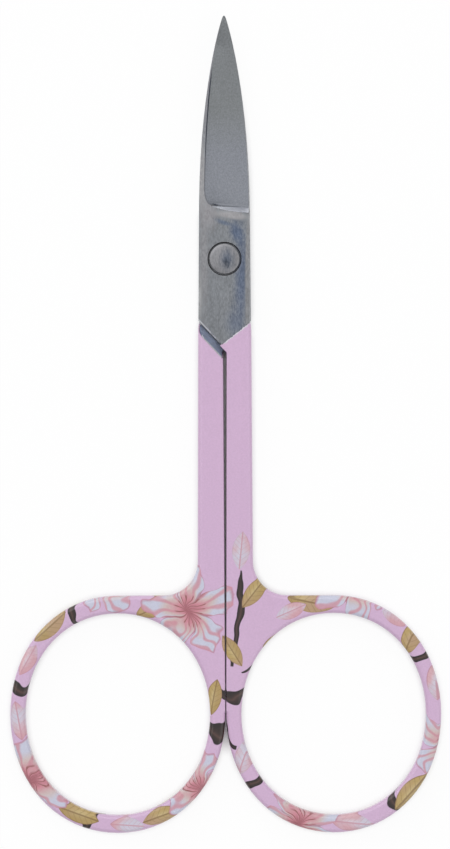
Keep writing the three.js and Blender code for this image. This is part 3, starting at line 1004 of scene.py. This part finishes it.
@dataclass(frozen=True)
class HandleCoat:
    """The lacquer jacket of one handle: a thin shell on shank and finger bow, open at the shoulder."""

    bow_width: float = 24.7
    bow_height: float = 27.25
    hole_width: float = 21.2
    hole_height: float = 23.2
    bow_fullness: float = 1.034  # length of the bow's curve handles against those of an ellipse
    neck_radius: float = 3.95
    shank_reach: float = 3.17  # pivot axis to the shank's outer side, at the neck
    shank_top_reach: float = 3.05  # the same at the lacquer's edge
    heel_reach: float = 2.93  # the same at the heel, where the plate begins
    heel_drop: float = 6.62
    flare: float = 1.6  # length over which the heel widens to the shank
    spare: float = 2.0  # how far the blank runs past the inner side and the heel
    inner_heel: float = 0.2  # pivot axis to the flat inner side, at the shoulder
    shoulder_drop: float = 10.77
    edge_round: float = 0.5
    inner_round: float = 0.14
    half_thickness: float = 1.745
    end_half_thickness: float = 1.35
    wall: float = 0.12
    edge_drop: float = 7.25  # pivot axis to the outer end of the lacquer's edge
    edge_turn: float = 38.0
    edge_reach: float = 3.0
    rag: float = 0.05  # how far the lacquer's edge wanders
    rag_cuts: int = 24  # cuts through each stretch of that edge
    lap: float = 0.05  # height over the meeting plane where the shoulder's cut ends
    slope_turn: float = 47.0
    slope_foot: float = 7.311  # pivot axis to the shoulder slope, square to it
    slope_run: float = 0.4375  # how far the slope runs per height

    def bow_centre(self) -> Vector:
        """The middle of the front half's finger bow, in mm."""
        low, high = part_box("front_handle_coat")
        return Vector((high.x / MM - self.bow_width / 2, low.y / MM + self.bow_height / 2, 0))

    def bezier(self, points: list[tuple[Vector, Vector | None, Vector | None]], curve: Curve) -> None:
        """Adds a closed spline to a curve.

        Args:
            points: each point in mm with the handles before and after it, or None on a straight side.
            curve: the curve that gets it.
        """
        spline = curve.splines.new("BEZIER")
        spline.bezier_points.add(len(points) - 1)
        spline.use_cyclic_u = True
        for point, (place, before, after) in zip(spline.bezier_points, points):
            point.co = place * MM
            point.handle_left_type = "FREE" if before else "VECTOR"
            point.handle_right_type = "FREE" if after else "VECTOR"
            if before:
                point.handle_left = (place + before) * MM
            if after:
                point.handle_right = (place + after) * MM

    def oval(self, width: float, height: float) -> list[tuple[Vector, Vector, Vector]]:
        """Draws an oval round the middle of the bow.

        Args:
            width: its size across, in mm.
            height: its size along, in mm.

        Returns:
            Its four points in mm, each with the handles before and after it.
        """
        middle = self.bow_centre()
        across = flat(width / 2, 0)
        up = flat(0, height / 2)
        arc = self.bow_fullness * QUARTER_ARC
        side = flat(arc * across.x, 0)
        rise = flat(0, arc * up.y)
        corners = (middle - across, middle - up, middle + across, middle + up)
        return list(zip(corners, (rise, -side, -rise, side), (-rise, side, rise, -side)))

    def blank(self) -> Object:
        """Draws the handle's outline and hole as a flat curve and thickens it with rounded edges.

        The outline runs past the flat inner side, which is cut afterwards.

        Returns:
            The solid blank, a mesh object.
        """
        (inner, _, down), *sides, (upper, back, _) = self.oval(self.bow_width, self.bow_height)
        neck = QUARTER_ARC * self.neck_radius
        top = self.bow_centre().y + self.bow_height / 2
        heel = -self.heel_drop
        blank = add_object(bpy.ops.curve.primitive_bezier_circle_add, "front_lacquer_jacket", radius=MM)
        curve = blank.data
        curve.splines.clear()
        curve.dimensions = "2D"
        curve.fill_mode = "BOTH"
        curve.resolution_u = 20
        outline = [
            (inner, None, down),
            *sides,
            (upper, back, None),
            (flat(self.shank_reach + self.neck_radius, top), None, flat(-neck, 0)),
            (flat(self.shank_reach, top + self.neck_radius), flat(0, -neck), None),
            (flat(self.shank_top_reach, heel - self.flare), None, None),
            (flat(self.heel_reach, heel), None, None),
            (flat(self.heel_reach, heel + self.spare), None, None),
            (flat(-self.spare, heel + self.spare), None, None),
            (flat(-self.spare, inner.y), None, None),
        ]
        for points in (outline, self.oval(self.hole_width, self.hole_height)):
            self.bezier(points, curve)
        curve.extrude = (self.half_thickness - self.edge_round) * MM
        curve.bevel_depth = self.edge_round * MM
        curve.bevel_resolution = 4
        curve.offset = -self.edge_round * MM
        bpy.ops.object.convert(target="MESH")
        return bpy.context.object

    def build(self) -> Object:
        """Cuts and tapers the blank, opens it at the shoulder and gives it its wall.

        Returns:
            The front half's jacket, a mesh object.
        """
        piece = self.blank()
        with editing(piece, "faces"):
            bpy.ops.mesh.remove_doubles(threshold=WELD)
            bpy.ops.mesh.normals_make_consistent(inside=False)
        cutter = self.inner_cutter()
        finish_with(piece, "BOOLEAN", operation="DIFFERENCE", solver="EXACT", object=cutter)
        bpy.data.objects.remove(cutter)
        with editing(piece, "faces"):
            bpy.ops.mesh.dissolve_limited(angle_limit=math.radians(0.05))
        with editing(piece, "edges", self.is_inner_corner):
            bpy.ops.mesh.bevel(offset=self.inner_round * MM, segments=3, affect="EDGES")
        self.taper(piece)
        self.open_shoulder(piece)
        finish_with(piece, "SOLIDIFY", thickness=self.wall * MM, offset=-1)
        with editing(piece, "verts"):
            bpy.ops.transform.translate(value=(0, 0, MEETING_PLANE * MM))
        shade(piece, 40)
        return piece

    def inner_cutter(self) -> Object:
        """Makes the block that cuts the flat inner side, up to the shank's tip over the plate's sloping end.

        Returns:
            The block, a mesh object.
        """
        middle = self.bow_centre()
        slope = math.radians(self.slope_turn)
        spread = self.bow_width / 2
        bow_side = flat(middle.x - spread, middle.y)
        corner = flat(self.inner_heel, -self.shoulder_drop)
        tip = corner + spread * flat(-math.cos(slope), math.sin(slope))
        cutter = add_object(bpy.ops.mesh.primitive_plane_add, "inner_cutter", size=MM)
        for vert, place in zip(cutter.data.vertices, (flat(tip.x, middle.y), bow_side, tip, corner)):
            vert.co = (place - Vector((0, 0, spread))) * MM
        with editing(cutter, "faces"):
            bpy.ops.mesh.extrude_region_move(TRANSFORM_OT_translate={"value": (0, 0, 2 * spread * MM)})
            bpy.ops.mesh.select_all(action="SELECT")
            bpy.ops.mesh.normals_make_consistent(inside=False)
        return cutter

    def is_inner_corner(self, edge: BMEdge) -> bool:
        """Whether an edge bounds the flat inner side or the tip's end."""
        inner = any(face.normal.x < -INWARD and face.calc_area() > MM * MM for face in edge.link_faces)
        return inner and edge.calc_face_angle(0) > SHARP

    def taper(self, piece: Object) -> None:
        """Leans both faces towards each other, so that the handle thins towards the end of the bow.

        Args:
            piece: the jacket.
        """
        drop = self.bow_height / 2 - self.bow_centre().y - self.heel_drop
        lean = math.asin((self.half_thickness - self.end_half_thickness) / drop)
        heel = flat(0, -self.heel_drop * MM)
        with editing(piece, "verts"):
            for way in (1, -1):
                pick(piece, "verts", lambda vert: way * vert.co.z > 0)
                bpy.ops.transform.rotate(value=-way * lean, orient_axis="X", center_override=heel)

    def open_shoulder(self, piece: Object) -> None:
        """Cuts the jacket off at the lacquer's edge and at the shoulder slope, and frays the edge a little.

        Args:
            piece: the jacket.
        """
        edge = math.radians(self.edge_turn)
        slope = math.radians(self.slope_turn)
        edge_way = flat(-math.sin(edge), math.cos(edge))
        slope_way = flat(-math.sin(slope), math.cos(slope))
        edge_place = flat(self.edge_reach, -self.edge_drop)
        foot = -self.slope_foot * MM * slope_way
        tilted = (slope_way - Vector((0, 0, self.slope_run))).normalized()
        on_edge = lambda vert: abs((vert.co / MM - edge_place).dot(edge_way)) < NEAR / 10
        with editing(piece, "edges"):
            bpy.ops.mesh.bisect(plane_co=edge_place * MM, plane_no=edge_way, clear_outer=True, threshold=CUT)
            bpy.ops.mesh.select_all(action="SELECT")
            bpy.ops.mesh.bisect(plane_co=(0, 0, self.lap * MM), plane_no=(0, 0, 1), threshold=CUT)
            pick(piece, "faces", lambda face: face.calc_center_median().z < self.lap * MM)
            bpy.ops.mesh.bisect(plane_co=foot, plane_no=tilted, clear_outer=True, threshold=CUT)
            pick(piece, "edges", lambda part: part.is_boundary and all(map(on_edge, part.verts)))
            bpy.ops.mesh.subdivide(number_cuts=self.rag_cuts)
            shape = bmesh.from_edit_mesh(piece.data)
            for vert in shape.verts:
                if vert.is_boundary and on_edge(vert):
                    along = vert.co.x / MM + 2 * vert.co.z / MM
                    waves = (math.sin(7 * along), math.sin(17 * along + 1), math.sin(31 * along + 2))
                    vert.co += edge_way * (self.rag * MM * sum(waves) / 2)
            bmesh.update_edit_mesh(piece.data)

    def copy_to_rear(self, piece: Object) -> Object:
        """Copies the jacket and turns the copy over for the rear half.

        Args:
            piece: the front half's jacket.

        Returns:
            The rear half's jacket.
        """
        make_active(piece)
        bpy.ops.object.duplicate(linked=False)
        twin = bpy.context.object
        twin.name = "rear_lacquer_jacket"
        middle = (0, 0, MEETING_PLANE * MM)
        with editing(twin, "verts"):
            bpy.ops.transform.rotate(value=math.pi, orient_axis="Y", center_override=middle)
        return twin

    def dress(self, piece: Object, side: Side, lacquer: Material) -> None:
        """Gives a jacket its lacquer and puts it on its body.

        Args:
            piece: the jacket.
            side: the half that it sits on.
            lacquer: its finish.
        """
        piece.data.materials.clear()
        piece.data.materials.append(lacquer)
        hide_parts(f"{side.body}_handle_coat")
        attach(piece, side.body)


@dataclass(frozen=True)
class PivotRivet:
    """The rivet: a low crowned head in a counterbore, a plain shank and a tail spread into a countersink."""

    shank_radius: float = 1.1
    tail_radius: float = 1.6
    tail_depth: float = 0.5
    head_thickness: float = 0.65
    crown: float = 0.08
    edge_break: float = 0.07
    sides: int = 72
    rings: int = 5  # steps from the head's edge to the middle of its crown

    def build(self) -> Object:
        """Works the rivet out of a short cylinder, the head.

        Returns:
            The rivet's mesh object.
        """
        low, high = (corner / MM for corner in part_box("pivot_rivet"))
        radius = high.x
        top = high.z - self.crown
        piece = add_object(
            bpy.ops.mesh.primitive_cylinder_add,
            "rivet",
            vertices=self.sides,
            radius=radius * MM,
            depth=self.head_thickness * MM,
            location=(0, 0, (top - self.head_thickness / 2) * MM),
        )
        bpy.ops.object.transform_apply(location=True)
        shank = top - self.head_thickness - self.tail_depth - low.z
        spread = self.tail_radius / self.shank_radius
        with editing(piece, "faces", lambda face: face.normal.z < -LYING):
            bpy.ops.mesh.inset(thickness=(radius - self.shank_radius) * MM)
            for length in (shank, self.tail_depth):
                bpy.ops.mesh.extrude_region_move(TRANSFORM_OT_translate={"value": (0, 0, -length * MM)})
            bpy.ops.transform.resize(value=(spread, spread, 1), center_override=(0, 0, 0))
            pick(piece, "faces", lambda face: face.normal.z > LYING and face.verts[0].co.z > top * MM - WELD)
            bpy.ops.mesh.bevel(offset=self.edge_break * MM, segments=2, affect="EDGES")
            pick(piece, "faces", lambda face: face.normal.z > LEVEL and len(face.verts) == self.sides)
            inner = radius - self.edge_break
            for ring in range(1, self.rings):
                reach = 1 - ring / self.rings
                before = 1 - (ring - 1) / self.rings
                bpy.ops.mesh.inset(thickness=inner / self.rings * MM)
                bpy.ops.transform.translate(value=(0, 0, self.crown * (before**2 - reach**2) * MM))
        shade(piece, 30)
        return piece

    def dress(self, piece: Object, steel: Material) -> None:
        """Gives the rivet its finish and puts it on the rear half, which holds its tail.

        Args:
            piece: the rivet's mesh object.
            steel: its finish.
        """
        piece.data.materials.append(steel)
        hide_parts("pivot_rivet")
        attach(piece, Side.REAR.body)


@dataclass(frozen=True)
class Studio:
    """A pale floor, soft light from above and a camera that looks straight down."""

    frame_height: float = 97.64  # what the picture shows from top to bottom, in mm
    view_y: float = -19.03
    camera_height: float = 900.0
    camera_roll: float = -0.15
    sensor: float = 24.0
    floor_gap: float = 0.02
    floor_size: float = 4000.0
    shadow_reach: float = 1.3  # how far the contact shadow spreads
    shadow_range: tuple[float, float] = (0.28, 0.75)  # how open the floor is in full and in no shadow
    floor_glow: float = 0.94  # share of the floor's white that comes from itself
    sky_strength: float = 0.5
    lamp_size: float = 1200.0
    key_power: float = 6.1  # in watts
    fill_power: float = 3.2

    def place_camera(self) -> None:
        """Adds the camera and makes it the scene's own."""
        place = Vector((0, self.view_y, self.camera_height)) * MM
        roll = (0, 0, math.radians(self.camera_roll))
        camera = add_object(bpy.ops.object.camera_add, "camera", location=place, rotation=roll)
        camera.data.sensor_fit = "VERTICAL"
        camera.data.sensor_height = self.sensor
        camera.data.lens = self.sensor * (self.camera_height - MEETING_PLANE) / self.frame_height
        camera.data.clip_start = 0.01
        bpy.context.scene.camera = camera

    def lay_floor(self) -> None:
        """Adds the floor just under the handles, white to the camera and to gloss, with its shadow kept."""
        place = (0, 0, CAD_BOX[0].z - self.floor_gap * MM)
        size = self.floor_size * MM
        floor = add_object(bpy.ops.mesh.primitive_plane_add, "floor", size=size, location=place)
        material, node = new_material("white_paper")
        rays = node("LightPath")
        seen = node("Math.MAXIMUM", rays["Is Camera Ray"], rays["Is Glossy Ray"])[0]
        shown = node("Math.MAXIMUM", seen, rays["Is Transmission Ray"])[0]
        clear = node("AmbientOcclusion", {"Distance": self.shadow_reach * MM}, samples=8)["AO"]
        open_part = node("MapRange", clear, *self.shadow_range, 0.0, self.floor_glow)[0]
        share = node("Math.MULTIPLY", shown, open_part)[0]
        paper = node("BsdfDiffuse", "#f6f6f6")[0]
        glow = node("Emission", "#ffffff", 1.0)[0]
        node("OutputMaterial", node("MixShader", share, paper, glow)[0])
        floor.data.materials.append(material)

    def light(self) -> None:
        """Sets the soft light of the room and the two large lamps."""
        world = bpy.data.worlds.new("studio")
        world.use_nodes = True
        world.node_tree.nodes.clear()
        sky = add_node(world.node_tree, "Background", "#f4f5f7", self.sky_strength)[0]
        add_node(world.node_tree, "OutputWorld", sky)
        bpy.context.scene.world = world
        for name, place, power in (
            ("key_lamp", (-0.35, 0.5, 0.6), self.key_power),
            ("fill_lamp", (0.5, -0.4, 0.6), self.fill_power),
        ):
            lamp = add_object(bpy.ops.object.light_add, name, type="AREA", location=place)
            lamp.data.size = self.lamp_size * MM
            lamp.data.energy = power
            lamp.rotation_euler = (-Vector(place)).to_track_quat("-Z", "Y").to_euler()


def main() -> None:
    """Builds the scissors piece by piece, then the studio."""
    logging.basicConfig(level=logging.INFO, format="%(name)s: %(message)s")
    finishes = {finish: finish.value.material() for finish in SteelFinish}
    faced = RIVET_STEEL.material()
    pieces = []
    for side in Side:
        half = SteelHalf(side)
        pieces.append(half.build())
        half.dress(pieces[-1], finishes)
    coat = HandleCoat()
    lacquer = PrintedLacquer().material(coat.edge_drop, coat.edge_turn, coat.edge_reach)
    jacket = coat.build()
    for piece, side in ((jacket, Side.FRONT), (coat.copy_to_rear(jacket), Side.REAR)):
        coat.dress(piece, side, lacquer)
        pieces.append(piece)
    rivet = PivotRivet()
    pieces.append(rivet.build())
    rivet.dress(pieces[-1], faced)
    for piece in pieces:
        log.info("%s: %d faces", piece.name, len(piece.data.polygons))
    studio = Studio()
    studio.lay_floor()
    studio.light()
    studio.place_camera()
    bpy.context.scene.view_settings.view_transform = "Standard"


if __name__ == "__main__":
    main()
